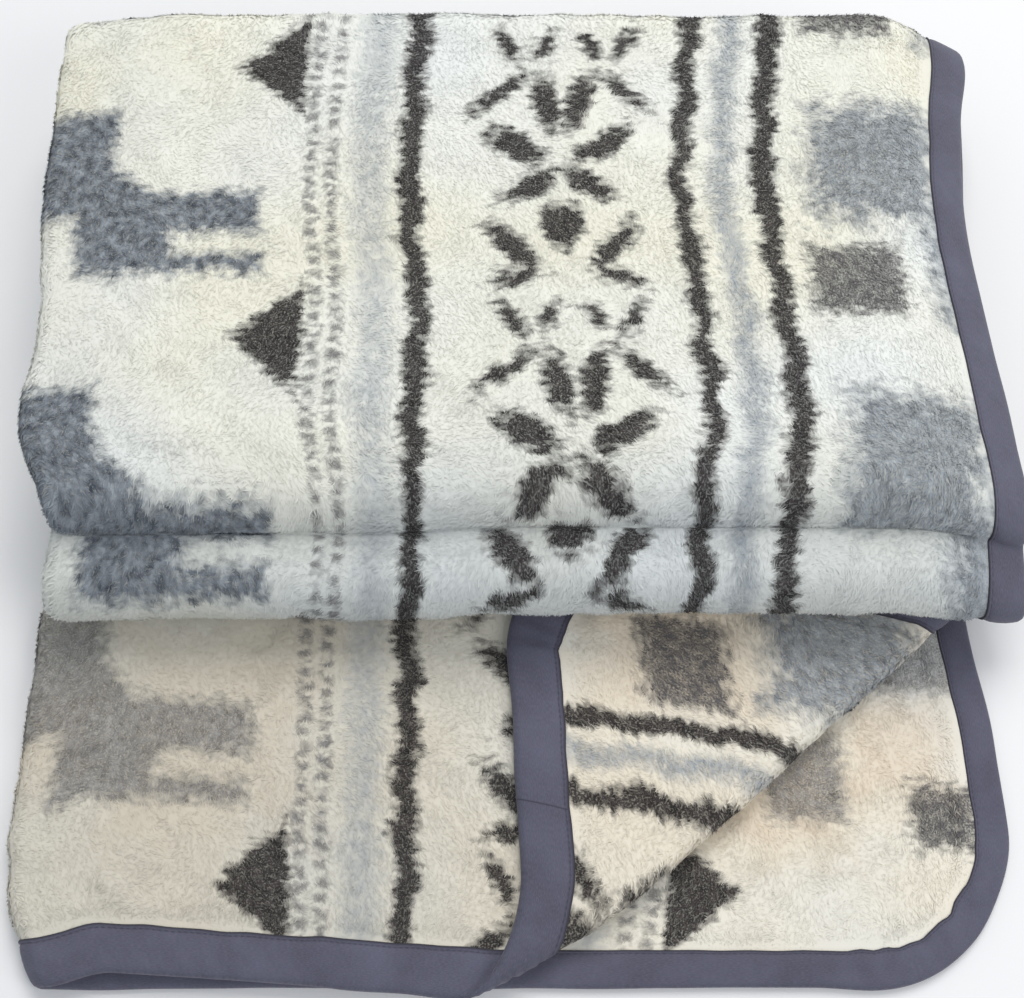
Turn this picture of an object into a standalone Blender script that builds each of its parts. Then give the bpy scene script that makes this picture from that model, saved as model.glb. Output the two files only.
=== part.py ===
"""A bound wool blanket, folded in half sideways and then over itself into a pack of five levels.

The front of the lowest level is left open as a panel, and the upper layer's corner there is turned back.
A point of the flat blanket is given by a, across it, b, along it, and m, off the cloth's middle.
fold() takes that point to its place in the folded blanket. All sizes are in metres.
"""
import bmesh
import bpy
import numpy as np
from math import cos, pi, radians, sin

# The cloth and its binding, laid flat
HALF_WIDTH = 0.500
CORNER_RADIUS = 0.075
CLOTH = 0.0088
EDGE_CLOTH = 0.0050
BOUND_CLOTH = 0.0056
BINDING_WIDTH = 0.0215
PINCH_WIDTH = 0.040
BINDING_FABRIC = 0.0008
BINDING_CLEARANCE = 0.00042
BINDING_NOSE = 0.0009

# Gaps between the two layers of the half fold, and between the levels of the pack
LAYER_GAP = 0.0009
LEVEL_GAP = 0.0008

# Side fold: the pair's two layers turn into each other on this radius
SIDE_RADIUS = (CLOTH + LAYER_GAP) / 2
SIDE_QUARTER = pi * SIDE_RADIUS / 2
SPAN = HALF_WIDTH - SIDE_QUARTER
PAIR = 2 * CLOTH + LAYER_GAP
PITCH = PAIR + LEVEL_GAP
SMALL_RADIUS = PITCH / 2

# Places along y
FRONT_Y = -0.2560
BACK_LOW_Y = 0.240
BACK_TOP_Y = 0.2446
FREE_END_Y = 0.245
UPPER_BULGE_Y = -0.0225
INNER_LOOP_Y = UPPER_BULGE_Y + 0.0135

# Front roll: upper bulge, pinched crease, slope and lower bulge, from the top level to the second
UPPER_TURN = radians(85)
UPPER_RADIUS = 0.0130
CREASE_TURN = radians(70)
CREASE_RADIUS = 0.0112
SLOPE_LENGTH = 0.015
LOWER_TURN = pi - UPPER_TURN + CREASE_TURN
SLOPE_ANGLE = UPPER_TURN - CREASE_TURN
LOWER_RADIUS = (3 * PITCH - UPPER_RADIUS * (1 - cos(UPPER_TURN)) - SLOPE_LENGTH * sin(SLOPE_ANGLE)
                - CREASE_RADIUS * (cos(SLOPE_ANGLE) - cos(UPPER_TURN))) / (1 + cos(SLOPE_ANGLE))
LOWER_BULGE_Y = (UPPER_BULGE_Y - UPPER_RADIUS * sin(UPPER_TURN)
                 - CREASE_RADIUS * (sin(UPPER_TURN) - sin(SLOPE_ANGLE))
                 - SLOPE_LENGTH * cos(SLOPE_ANGLE) + LOWER_RADIUS * sin(SLOPE_ANGLE))

# The pack's section, from the front edge of the lowest level: name, length, turn in radians, cells round a turn
RUNS = (
    ("level 1", BACK_LOW_Y - FRONT_Y, 0.0, 1),
    ("low back fold", pi * SMALL_RADIUS, pi, 6),
    ("level 2", BACK_LOW_Y - LOWER_BULGE_Y, 0.0, 1),
    ("lower bulge", LOWER_RADIUS * LOWER_TURN, -LOWER_TURN, 8),
    ("slope", SLOPE_LENGTH, 0.0, 1),
    ("crease", CREASE_RADIUS * CREASE_TURN, CREASE_TURN, 4),
    ("upper bulge", UPPER_RADIUS * UPPER_TURN, -UPPER_TURN, 4),
    ("level 5", BACK_TOP_Y - UPPER_BULGE_Y, 0.0, 1),
    ("top back fold", pi * SMALL_RADIUS, -pi, 6),
    ("level 4", BACK_TOP_Y - INNER_LOOP_Y, 0.0, 1),
    ("inner fold", pi * SMALL_RADIUS, pi, 6),
    ("level 3", FREE_END_Y - INNER_LOOP_Y, 0.0, 1),
)
# Places in y where each level is cut into cells, the same on all levels so that they nest
CELL_LINES = (-0.165, -0.125, -0.085, -0.045, -0.005, 0.035, 0.075, 0.115, 0.160, 0.205)
CELL_LEAST = 0.008
RUN_NAMES = [run[0] for run in RUNS]
RUN_LENGTHS = np.array([run[1] for run in RUNS])
RUN_TURNS = np.array([run[2] for run in RUNS])
RUN_STARTS = np.concatenate(([0.0], np.cumsum(RUN_LENGTHS)[:-1]))
LENGTH = float(RUN_LENGTHS.sum())

# The pair's outer edges, in x, by the run and how far along it
OUTLINE = (
    # run, share, side fold's outside, open edges
    ("level 1", 0.00, -0.2426, 0.2454),
    ("level 1", 0.06, -0.2536, 0.2464),
    ("level 1", 0.14, -0.2596, 0.2484),
    ("level 1", 0.24, -0.2586, 0.2464),
    ("level 1", 0.38, -0.2571, 0.2384),
    ("level 1", 0.70, -0.2506, 0.2374),
    ("level 1", 1.00, -0.2516, 0.2394),
    ("level 2", 0.50, -0.2506, 0.2434),
    ("level 2", 1.00, -0.2436, 0.2534),
    ("lower bulge", 0.50, -0.2446, 0.2584),
    ("slope", 0.00, -0.2426, 0.2584),
    ("crease", 0.50, -0.2396, 0.2584),
    ("upper bulge", 0.50, -0.2406, 0.2594),
    ("level 5", 0.12, -0.2566, 0.2569),
    ("level 5", 0.32, -0.2526, 0.2514),
    ("level 5", 0.60, -0.2576, 0.2434),
    ("level 5", 0.85, -0.2586, 0.2490),
    ("level 5", 1.00, -0.2586, 0.2559),
    ("level 4", 0.00, -0.2566, 0.2559),
    ("level 4", 0.50, -0.2506, 0.2470),
    ("level 4", 1.00, -0.2446, 0.2585),
    ("level 3", 0.00, -0.2436, 0.2560),
    ("level 3", 0.50, -0.2496, 0.2434),
    ("level 3", 1.00, -0.2506, 0.2384),
)

# The upper layer of the front panel lies a little askew, away from the side fold and in front of the pack
SKEW_START_X = -0.0856
SKEW_SLOPE = 0.062
SKEW_SIDE = 0.035
SKEW_FADE = (0.260, 0.460)

# Turned-back corner: a point on its fold, the fold's angle, and its radius
RIDGE_X = 0.1154
RIDGE_Y = -0.155
RIDGE_ANGLE = radians(40.5)
RIDGE_RADIUS = (CLOTH + 0.0006) / 2
RIDGE_CELLS = 7
SNAP = 0.0005
CORNER_LINES = (-0.028, 0.000, 0.048, 0.072, 0.117)
FLAP_SHEAR = 0.14

# Sideways bend of the front panel near its edge, which curls the turned-back corner's end
BEND = 0.026
BEND_START_Y = -0.200
BEND_DEPTH = 0.062
BEND_REACH = 0.170

# The pack is lifted where the turned-back corner lies under it
LIFT = 2 * RIDGE_RADIUS + 0.0006
LIFT_LEFT_X = -0.0806
LIFT_FULL_X = -0.0006
LIFT_FULL_Y = -0.030
LIFT_BACK_Y = 0.090

# The bound edges and the side fold sink, and the surface waves a little
RIGHT_SINK = 0.42
RIGHT_SINK_X = 0.1894
LEFT_SINK = 0.10
LEFT_SINK_X = -0.1906
FRONT_SINK = 0.20
FRONT_SINK_Y = -0.195
SINK_WIDTH = 0.085
WAVE = 0.018

# Cells across each layer, by distance from the side fold, and cells round the side fold
ACROSS = (0.055, 0.125, 0.200, 0.275, 0.345, 0.395, 0.418, 0.440)
SIDE_CELLS = 6
CORNER_CELLS = 5
FIRST_LINE = 0.058
STEEP = 0.6

CREAM = (0.80, 0.77, 0.70, 1.0)
SLATE = (0.11, 0.11, 0.155, 1.0)


def ease(share):
    """A soft step from 0 to 1."""
    share = np.clip(share, 0.0, 1.0)
    return share * share * (3 - 2 * share)


def through(places, values, at):
    """A smooth curve through a table's values, flat past its ends."""
    places, values = np.asarray(places), np.asarray(values)
    slopes = np.gradient(values, places)
    at = np.clip(at, places[0], places[-1])
    i = np.clip(np.searchsorted(places, at, side="right") - 1, 0, len(places) - 2)
    step = places[i + 1] - places[i]
    t = (at - places[i]) / step
    return (values[i] * (1 + 2 * t) * (1 - t) ** 2 + slopes[i] * step * t * (1 - t) ** 2
            + values[i + 1] * t * t * (3 - 2 * t) + slopes[i + 1] * step * t * t * (t - 1))


def run_place(name, share):
    """Distance along the section of a share of one run."""
    i = RUN_NAMES.index(name)
    return RUN_STARTS[i] + share * RUN_LENGTHS[i]


OUTLINE_PLACES = [run_place(row[0], row[1]) for row in OUTLINE]
OUTLINE_LEFT = [row[2] + 2 * SIDE_RADIUS for row in OUTLINE]
OUTLINE_RIGHT = [row[3] - BINDING_CLEARANCE - BINDING_FABRIC - BINDING_NOSE for row in OUTLINE]


def run_corners():
    """Where each run starts: y, z and heading, and its curvature."""
    y, z, heading = FRONT_Y, PAIR / 2, 0.0
    rows = []
    for length, turn in zip(RUN_LENGTHS, RUN_TURNS):
        curve = turn / length
        rows.append((y, z, heading, curve))
        if turn:
            y += (sin(heading + turn) - sin(heading)) / curve
            z += (cos(heading) - cos(heading + turn)) / curve
        else:
            y += length * cos(heading)
            z += length * sin(heading)
        heading += turn
    return np.array(rows)


RUN_CORNERS = run_corners()


def section(s, n):
    """The pack's section: y and z at s along it and n off the pair's middle."""
    i = np.clip(np.searchsorted(RUN_STARTS, s, side="right") - 1, 0, len(RUNS) - 1)
    y, z, heading, curve = RUN_CORNERS[i].T
    t = s - RUN_STARTS[i]
    bent = np.where(curve == 0, 1.0, curve)
    end = heading + curve * t
    y = y + np.where(curve == 0, t * np.cos(heading), (np.sin(end) - np.sin(heading)) / bent)
    z = z + np.where(curve == 0, t * np.sin(heading), (np.cos(heading) - np.cos(end)) / bent)
    return y - n * np.sin(end), z + n * np.cos(end)


def half_fold(a, m):
    """Distance from the side fold's centre, height off the pair's middle, and which layer, 0 to 1."""
    turn = np.clip((a - SPAN) / SIDE_RADIUS, 0.0, pi)
    across = np.maximum(np.abs(a - HALF_WIDTH) - SIDE_QUARTER, 0.0) - (SIDE_RADIUS + m) * np.sin(turn)
    return across, -(SIDE_RADIUS + m) * np.cos(turn), turn / pi


def lay(across, b):
    """Places of the upper layer: x, and s with the front panel's skew."""
    left = through(OUTLINE_PLACES, OUTLINE_LEFT, b)
    right = through(OUTLINE_PLACES, OUTLINE_RIGHT, b)
    x = left + across * (right - left) / SPAN
    kept = ease(across / SKEW_SIDE) * (1 - ease((b - SKEW_FADE[0]) / (SKEW_FADE[1] - SKEW_FADE[0])))
    return x, b + SKEW_SLOPE * (SKEW_START_X - x) * kept


def unlay(x, s):
    """The way back from a place in the front panel, in front of where the skew fades."""
    b = s - SKEW_SLOPE * (SKEW_START_X - x)
    left = through(OUTLINE_PLACES, OUTLINE_LEFT, b)
    right = through(OUTLINE_PLACES, OUTLINE_RIGHT, b)
    return (x - left) * SPAN / (right - left), b


def turn_corner(x, y, n, layer):
    """Turns back the upper layer's corner over its fold, in the front panel."""
    out_x, out_y = sin(RIDGE_ANGLE), -cos(RIDGE_ANGLE)
    past = (x - RIDGE_X) * out_x + (y - RIDGE_Y) * out_y
    past = np.where(layer > 0.999, np.maximum(past, 0.0), 0.0)
    turn = np.minimum(past / RIDGE_RADIUS, pi)
    beyond = np.maximum(past - pi * RIDGE_RADIUS, 0.0)
    off = RIDGE_RADIUS - (n - SIDE_RADIUS)
    shift = off * np.sin(turn) - beyond - past
    x = x + shift * out_x - FLAP_SHEAR * beyond / sin(RIDGE_ANGLE)
    return x, y + shift * out_y, np.where(past > 0, SIDE_RADIUS + RIDGE_RADIUS - off * np.cos(turn), n)


def settle(x, y):
    """How far the height is kept at a place: the edges sink and the surface waves."""
    kept = 1 - RIGHT_SINK * ease((x - RIGHT_SINK_X) / SINK_WIDTH)
    kept -= LEFT_SINK * ease((LEFT_SINK_X - x) / SINK_WIDTH)
    kept -= FRONT_SINK * ease((FRONT_SINK_Y - y) / SINK_WIDTH)
    return kept + WAVE * (np.sin(21 * x + 9 * y + 0.6) + np.sin(17 * y - 11 * x + 2.0)) / 2


def fold(a, b, m):
    """Places of points of the flat blanket in the folded one."""
    across, n, layer = half_fold(a, m)
    x, askew = lay(across, b)
    s = np.where(layer > 0.5, askew, b)
    panel = s < RUN_LENGTHS[0]
    turned_x, turned_y, turned_n = turn_corner(x, FRONT_Y + s, n, layer)
    x = np.where(panel, turned_x, x)
    s = np.where(panel, turned_y - FRONT_Y, s)
    n = np.where(panel, turned_n, n)
    near = np.maximum(BEND_START_Y - FRONT_Y - s, 0.0) / BEND_DEPTH
    x = x - BEND * near ** 2 * (1 - ease(np.abs(x) / BEND_REACH))
    y, z = section(s, n)
    lift = LIFT * ease((x - LIFT_LEFT_X) / (LIFT_FULL_X - LIFT_LEFT_X))
    lift = lift * ease((LIFT_BACK_Y - y) / (LIFT_BACK_Y - LIFT_FULL_Y))
    z = z + np.where(s > RUN_STARTS[2], lift, 0.0)
    return np.stack((x, y, z * settle(x, y)), axis=-1)


def margin(a, b):
    """Distance in from the flat blanket's rounded outline."""
    over_a = np.abs(a - HALF_WIDTH) - (HALF_WIDTH - CORNER_RADIUS)
    over_b = np.abs(b - LENGTH / 2) - (LENGTH / 2 - CORNER_RADIUS)
    corner = np.hypot(np.maximum(over_a, 0.0), np.maximum(over_b, 0.0))
    return CORNER_RADIUS - corner - np.minimum(np.maximum(over_a, over_b), 0.0)


def push_out(vert, distance):
    """Moves a vertex near the flat blanket's edge straight out."""
    over_a = max(abs(vert.co.x - HALF_WIDTH) - (HALF_WIDTH - CORNER_RADIUS), 0.0)
    over_b = max(abs(vert.co.y - LENGTH / 2) - (LENGTH / 2 - CORNER_RADIUS), 0.0)
    step = distance / np.hypot(over_a, over_b)
    vert.co.x += step * over_a * np.sign(vert.co.x - HALF_WIDTH)
    vert.co.y += step * over_b * np.sign(vert.co.y - LENGTH / 2)


def half_thickness(a, b):
    """Half the cloth's thickness, which is pinched under the binding."""
    inside = margin(a, b)
    return np.interp(inside, (0.0, BINDING_WIDTH, PINCH_WIDTH), (EDGE_CLOTH / 2, BOUND_CLOTH / 2, CLOTH / 2))


def cut(bm, faces, place, direction):
    """Cuts some faces along a line."""
    geom = set(faces)
    for face in faces:
        geom.update(face.edges, face.verts)
    bmesh.ops.bisect_plane(bm, geom=list(geom), dist=1e-6, plane_co=place, plane_no=direction)


def lines_across():
    """Lines along the blanket, by their place across it."""
    turns = [SPAN + 2 * SIDE_QUARTER * i / SIDE_CELLS for i in range(SIDE_CELLS + 1)]
    sides = [place for row in ACROSS for place in (SPAN - row, 2 * HALF_WIDTH - SPAN + row)]
    return turns + sides


def lines_along():
    """Lines across the blanket, by their place along it."""
    lines = [FIRST_LINE, LENGTH - FIRST_LINE]
    for (name, length, turn, cells), start, (y, z, heading, curve) in zip(RUNS, RUN_STARTS, RUN_CORNERS):
        lines += [start + length * i / cells for i in range(cells)]
        if name.startswith("level"):
            along = [(line - y) * cos(heading) for line in CELL_LINES]
            lines += [start + place for place in along if CELL_LEAST < place < length - CELL_LEAST]
    return [line for line in lines if FIRST_LINE <= line <= LENGTH - FIRST_LINE]


def flat_sheet():
    """The blanket's outline with rounded corners, cut into cells, with two rings of cells along its edge."""
    bm = bmesh.new()
    bmesh.ops.create_grid(bm, x_segments=1, y_segments=1, size=0.5)
    bmesh.ops.scale(bm, verts=bm.verts, vec=(2 * (HALF_WIDTH - PINCH_WIDTH), LENGTH - 2 * PINCH_WIDTH, 1.0))
    bmesh.ops.translate(bm, verts=bm.verts, vec=(HALF_WIDTH, LENGTH / 2, 0.0))
    bmesh.ops.bevel(bm, geom=bm.verts[:], offset=CORNER_RADIUS - PINCH_WIDTH, segments=CORNER_CELLS,
                    profile=0.5, affect="VERTICES", material=-1)
    for line in lines_across():
        cut(bm, bm.faces[:], (line, 0.0, 0.0), (1.0, 0.0, 0.0))
    for line in lines_along():
        cut(bm, bm.faces[:], (0.0, line, 0.0), (0.0, 1.0, 0.0))
    for width in (PINCH_WIDTH - BINDING_WIDTH, BINDING_WIDTH):
        edge = [edge for edge in bm.edges if edge.is_boundary]
        ring = bmesh.ops.extrude_edge_only(bm, edges=edge)["geom"]
        for vert in (item for item in ring if isinstance(item, bmesh.types.BMVert)):
            push_out(vert, width)
    bmesh.ops.recalc_face_normals(bm, faces=bm.faces[:])
    cut_ridge(bm)
    return bm


def cut_ridge(bm):
    """Cuts the turned-back corner's fold into the flat sheet, which is laid in place for the cuts."""
    start = HALF_WIDTH + SIDE_QUARTER
    corner = [face for face in bm.faces if min(vert.co.x for vert in face.verts) > start + SKEW_SIDE
              and max(vert.co.y for vert in face.verts) < SKEW_FADE[0]]
    geom = set(corner)
    for face in corner:
        geom.update(face.edges, face.verts)
    for vert in (item for item in geom if isinstance(item, bmesh.types.BMVert)):
        vert.co.x, vert.co.y = lay(vert.co.x - start, vert.co.y)
    for line in CORNER_LINES:
        geom = bmesh.ops.bisect_plane(bm, geom=list(geom), dist=SNAP, plane_co=(line, 0.0, 0.0),
                                      plane_no=(1.0, 0.0, 0.0))["geom"]
    for i in range(-1, RIDGE_CELLS + 2):
        step = pi * RIDGE_RADIUS * i / RIDGE_CELLS
        place = (RIDGE_X + step * sin(RIDGE_ANGLE), RIDGE_Y - FRONT_Y - step * cos(RIDGE_ANGLE), 0.0)
        geom = bmesh.ops.bisect_plane(bm, geom=list(geom), dist=SNAP, plane_co=place,
                                      plane_no=(sin(RIDGE_ANGLE), -cos(RIDGE_ANGLE), 0.0))["geom"]
    for vert in (item for item in geom if isinstance(item, bmesh.types.BMVert)):
        across, vert.co.y = unlay(vert.co.x, vert.co.y)
        vert.co.x = across + start


def fold_mesh(bm):
    """Moves a flat mesh's vertices to their places in the folded blanket."""
    flat = np.array([vert.co for vert in bm.verts])
    for vert, place in zip(bm.verts, fold(*flat.T)):
        vert.co = place


def slant(face, start, end):
    """How far a cell's diagonal runs the chosen way, as seen from above or, on a steep cell, from the side."""
    run = end.co - start.co
    if abs(face.normal.z) > STEEP:
        return run.x * run.y
    return (run.x + run.y) * run.z


def split_quads(bm):
    """Splits every cell the same way, so that nested layers stay apart."""
    bm.normal_update()
    for face in [face for face in bm.faces if len(face.verts) == 4]:
        pairs = [(face.verts[i], face.verts[i + 2]) for i in range(2)]
        slants = [slant(face, *pair) for pair in pairs]
        bmesh.utils.face_split(face, *pairs[slants.index(max(slants))])
    bmesh.ops.triangulate(bm, faces=bm.faces[:])


def finish(bm, name, colour, collection):
    """Closes a mesh into a named object with its own material."""
    fold_mesh(bm)
    split_quads(bm)
    mesh = bpy.data.meshes.new(name)
    bm.to_mesh(mesh)
    bm.free()
    mesh.shade_smooth()
    material = bpy.data.materials.new(name)
    material.use_nodes = True
    shader = material.node_tree.nodes["Principled BSDF"]
    shader.inputs["Base Color"].default_value = colour
    shader.inputs["Roughness"].default_value = 0.95
    shader.inputs["Metallic"].default_value = 0.0
    mesh.materials.append(material)
    collection.objects.link(bpy.data.objects.new(name, mesh))


def thicken(bm, clearance):
    """Makes the flat sheet a slab of the cloth's thickness, with a clearance on both faces."""
    top = bmesh.ops.extrude_face_region(bm, geom=bm.faces[:], use_keep_orig=True)["geom"]
    top = {item for item in top if isinstance(item, bmesh.types.BMVert)}
    for vert in bm.verts:
        half = half_thickness(vert.co.x, vert.co.y) + clearance
        vert.co.z = half if vert in top else -half
    bmesh.ops.recalc_face_normals(bm, faces=bm.faces[:])


def fleece(collection):
    """The cloth: the flat sheet given its thickness and folded."""
    bm = flat_sheet()
    thicken(bm, 0.0)
    finish(bm, "fleece", CREAM, collection)


def binding(collection):
    """The edge binding: a strip of fabric that wraps the sheet's edge all round."""
    bm = flat_sheet()
    inner = [face for face in bm.faces if margin(*face.calc_center_median().xy) > BINDING_WIDTH]
    bmesh.ops.delete(bm, geom=inner, context="FACES")
    thicken(bm, BINDING_CLEARANCE)
    walls = [face for face in bm.faces if abs(face.normal.z) < 0.5]
    mouth = [face for face in walls if margin(*face.calc_center_median().xy) > BINDING_WIDTH / 2]
    uprights = {edge for face in walls if face not in mouth for edge in face.edges
                if edge.verts[0].co.z * edge.verts[1].co.z < 0}
    bmesh.ops.delete(bm, geom=mouth, context="FACES")
    split = bmesh.ops.subdivide_edges(bm, edges=list(uprights), cuts=1)["geom_inner"]
    nose = {item for item in split if isinstance(item, bmesh.types.BMVert)}
    for vert in bm.verts:
        if margin(*vert.co.xy) < BINDING_WIDTH / 2:
            push_out(vert, BINDING_CLEARANCE + (BINDING_NOSE if vert in nose else 0.0))
    bmesh.ops.recalc_face_normals(bm, faces=bm.faces[:])
    bmesh.ops.solidify(bm, geom=bm.faces[:], thickness=-BINDING_FABRIC)
    bmesh.ops.recalc_face_normals(bm, faces=bm.faces[:])
    finish(bm, "binding", SLATE, collection)


def main():
    for item in list(bpy.data.objects):
        bpy.data.objects.remove(item)
    collection = bpy.data.collections.new("wool_blanket")
    bpy.context.scene.collection.children.link(collection)
    fleece(collection)
    binding(collection)


main()
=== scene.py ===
"""The wool blanket's looks: its deep pile with the pattern knitted in, and its cotton edge binding.

The cloth is laid out flat first: a runs across it, b along it, and m off its middle, in metres.
fold() takes a flat point to its place in the folded blanket, as in the part's source.
"""
import bmesh
import bpy
import numpy as np
from math import ceil, cos, pi, radians, sin, tau
from mathutils import Matrix, Vector


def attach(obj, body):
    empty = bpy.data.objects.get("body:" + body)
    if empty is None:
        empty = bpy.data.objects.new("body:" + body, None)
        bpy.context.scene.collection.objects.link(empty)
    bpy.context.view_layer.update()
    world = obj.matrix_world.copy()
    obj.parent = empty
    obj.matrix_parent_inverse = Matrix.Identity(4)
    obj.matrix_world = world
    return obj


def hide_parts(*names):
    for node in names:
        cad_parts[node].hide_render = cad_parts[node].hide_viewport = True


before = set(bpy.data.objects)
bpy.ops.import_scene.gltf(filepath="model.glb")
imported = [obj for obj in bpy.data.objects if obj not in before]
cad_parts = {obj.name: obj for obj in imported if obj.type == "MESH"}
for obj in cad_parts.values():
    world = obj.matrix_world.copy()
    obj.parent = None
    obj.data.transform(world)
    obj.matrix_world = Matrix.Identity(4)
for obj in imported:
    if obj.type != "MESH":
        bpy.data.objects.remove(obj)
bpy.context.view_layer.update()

# The cloth and its binding, laid flat
HALF_WIDTH = 0.500
CORNER_RADIUS = 0.075
CLOTH = 0.0088
EDGE_CLOTH = 0.0050
BOUND_CLOTH = 0.0056
BINDING_WIDTH = 0.0215
PINCH_WIDTH = 0.040
BINDING_ROOM = 0.00212

# Gaps between the two layers of the half fold, and between the levels of the pack
LAYER_GAP = 0.0009
LEVEL_GAP = 0.0008

# Side fold: the pair's two layers turn into each other on this radius
SIDE_RADIUS = (CLOTH + LAYER_GAP) / 2
SIDE_QUARTER = pi * SIDE_RADIUS / 2
SPAN = HALF_WIDTH - SIDE_QUARTER
PAIR = 2 * CLOTH + LAYER_GAP
PITCH = PAIR + LEVEL_GAP
SMALL_RADIUS = PITCH / 2

# Places along y
FRONT_Y = -0.2560
BACK_LOW_Y = 0.240
BACK_TOP_Y = 0.2446
FREE_END_Y = 0.245
UPPER_BULGE_Y = -0.0225
INNER_LOOP_Y = UPPER_BULGE_Y + 0.0135

# Front roll: upper bulge, pinched crease, slope and lower bulge, from the top level to the second
UPPER_TURN = radians(85)
UPPER_RADIUS = 0.0130
CREASE_TURN = radians(70)
CREASE_RADIUS = 0.0112
SLOPE_LENGTH = 0.015
LOWER_TURN = pi - UPPER_TURN + CREASE_TURN
SLOPE_ANGLE = UPPER_TURN - CREASE_TURN
LOWER_RADIUS = (3 * PITCH - UPPER_RADIUS * (1 - cos(UPPER_TURN)) - SLOPE_LENGTH * sin(SLOPE_ANGLE)
                - CREASE_RADIUS * (cos(SLOPE_ANGLE) - cos(UPPER_TURN))) / (1 + cos(SLOPE_ANGLE))
LOWER_BULGE_Y = (UPPER_BULGE_Y - UPPER_RADIUS * sin(UPPER_TURN)
                 - CREASE_RADIUS * (sin(UPPER_TURN) - sin(SLOPE_ANGLE))
                 - SLOPE_LENGTH * cos(SLOPE_ANGLE) + LOWER_RADIUS * sin(SLOPE_ANGLE))

# The pack's section, from the front edge of the lowest level
RUNS = (
    # name, length, turn in radians
    ("level 1", BACK_LOW_Y - FRONT_Y, 0.0),
    ("low back fold", pi * SMALL_RADIUS, pi),
    ("level 2", BACK_LOW_Y - LOWER_BULGE_Y, 0.0),
    ("lower bulge", LOWER_RADIUS * LOWER_TURN, -LOWER_TURN),
    ("slope", SLOPE_LENGTH, 0.0),
    ("crease", CREASE_RADIUS * CREASE_TURN, CREASE_TURN),
    ("upper bulge", UPPER_RADIUS * UPPER_TURN, -UPPER_TURN),
    ("level 5", BACK_TOP_Y - UPPER_BULGE_Y, 0.0),
    ("top back fold", pi * SMALL_RADIUS, -pi),
    ("level 4", BACK_TOP_Y - INNER_LOOP_Y, 0.0),
    ("inner fold", pi * SMALL_RADIUS, pi),
    ("level 3", FREE_END_Y - INNER_LOOP_Y, 0.0),
)
RUN_NAMES = [run[0] for run in RUNS]
LENGTH = sum(run[1] for run in RUNS)

# The pair's outer edges, in x, by the run and how far along it
OUTLINE = (
    # run, share, side fold's outside, open edges
    ("level 1", 0.00, -0.2426, 0.2454),
    ("level 1", 0.06, -0.2536, 0.2464),
    ("level 1", 0.14, -0.2596, 0.2484),
    ("level 1", 0.24, -0.2586, 0.2464),
    ("level 1", 0.38, -0.2571, 0.2384),
    ("level 1", 0.70, -0.2506, 0.2374),
    ("level 1", 1.00, -0.2516, 0.2394),
    ("level 2", 0.50, -0.2506, 0.2434),
    ("level 2", 1.00, -0.2436, 0.2534),
    ("lower bulge", 0.50, -0.2446, 0.2584),
    ("slope", 0.00, -0.2426, 0.2584),
    ("crease", 0.50, -0.2396, 0.2584),
    ("upper bulge", 0.50, -0.2406, 0.2594),
    ("level 5", 0.12, -0.2566, 0.2569),
    ("level 5", 0.32, -0.2526, 0.2514),
    ("level 5", 0.60, -0.2576, 0.2434),
    ("level 5", 0.85, -0.2586, 0.2490),
    ("level 5", 1.00, -0.2586, 0.2559),
    ("level 4", 0.00, -0.2566, 0.2559),
    ("level 4", 0.50, -0.2506, 0.2470),
    ("level 4", 1.00, -0.2446, 0.2585),
    ("level 3", 0.00, -0.2436, 0.2560),
    ("level 3", 0.50, -0.2496, 0.2434),
    ("level 3", 1.00, -0.2506, 0.2384),
)

# The upper layer of the front panel lies a little askew, away from the side fold and in front of the pack
SKEW_START_X = -0.0856
SKEW_SLOPE = 0.062
SKEW_SIDE = 0.035
SKEW_FADE = (0.260, 0.460)

# Turned-back corner: a point on its fold, the fold's angle, and its radius
RIDGE_X = 0.1154
RIDGE_Y = -0.155
RIDGE_ANGLE = radians(40.5)
RIDGE_RADIUS = (CLOTH + 0.0006) / 2
FLAP_SHEAR = 0.14

# Sideways bend of the front panel near its edge, which curls the turned-back corner's end
BEND = 0.026
BEND_START_Y = -0.200
BEND_DEPTH = 0.062
BEND_REACH = 0.170

# The upper layer gapes away from the lower one at the front edge's left end
GAPE = 0.0042
GAPE_START_X = -0.09
GAPE_WIDTH = 0.13
GAPE_DEPTH = 0.030

# The pack is lifted where the turned-back corner lies under it
LIFT = 2 * RIDGE_RADIUS + 0.0006
LIFT_LEFT_X = -0.0806
LIFT_FULL_X = -0.0006
LIFT_FULL_Y = -0.030
LIFT_BACK_Y = 0.090

# The bound edges and the side fold sink, and the surface waves a little
RIGHT_SINK = 0.42
RIGHT_SINK_X = 0.1894
LEFT_SINK = 0.10
LEFT_SINK_X = -0.1906
FRONT_SINK = 0.20
FRONT_SINK_Y = -0.195
SINK_WIDTH = 0.085
WAVE = 0.018
UNDERSIDE = 0.0004

# Ground of the cloth under its pile: thin under the binding, rising to full height past it, in tufts
RISE_WIDTH = 0.0095
RIM_WIDTH = 0.005
RIM_SHARE = 0.45
GROUND_INSET = 0.0015
HIDDEN_STEP = 0.0160
TUFTS = (
    # size, height, seed
    (0.0300, 0.0006, 3),
    (0.0140, 0.0008, 4),
    (0.0085, 0.0004, 5),
)

# Locks of the pile, which lean together in patches of two sizes, and how they are spread
LOCK_SPACING = 0.00118
LOCK_WIDTH = 0.00062
LOCK_ROOT = 0.0004
LOCK_RISE = 0.0009
LOCK_LEAN = 0.0034
LOCKS_MOST = 190000
LEAN_PIVOT = 0.3
LEAN_PATCH = 0.040
LEAN_TUFT = 0.012
LEAN_TUFT_SHARE = 0.6
HEADING_SPREAD = 0.55
SHORTEST = 0.30
NORMAL_STEP = 0.0012
NORMAL_SPREAD = 0.09
BINDING_LAP = 0.0010
JITTER = 1.3

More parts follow.
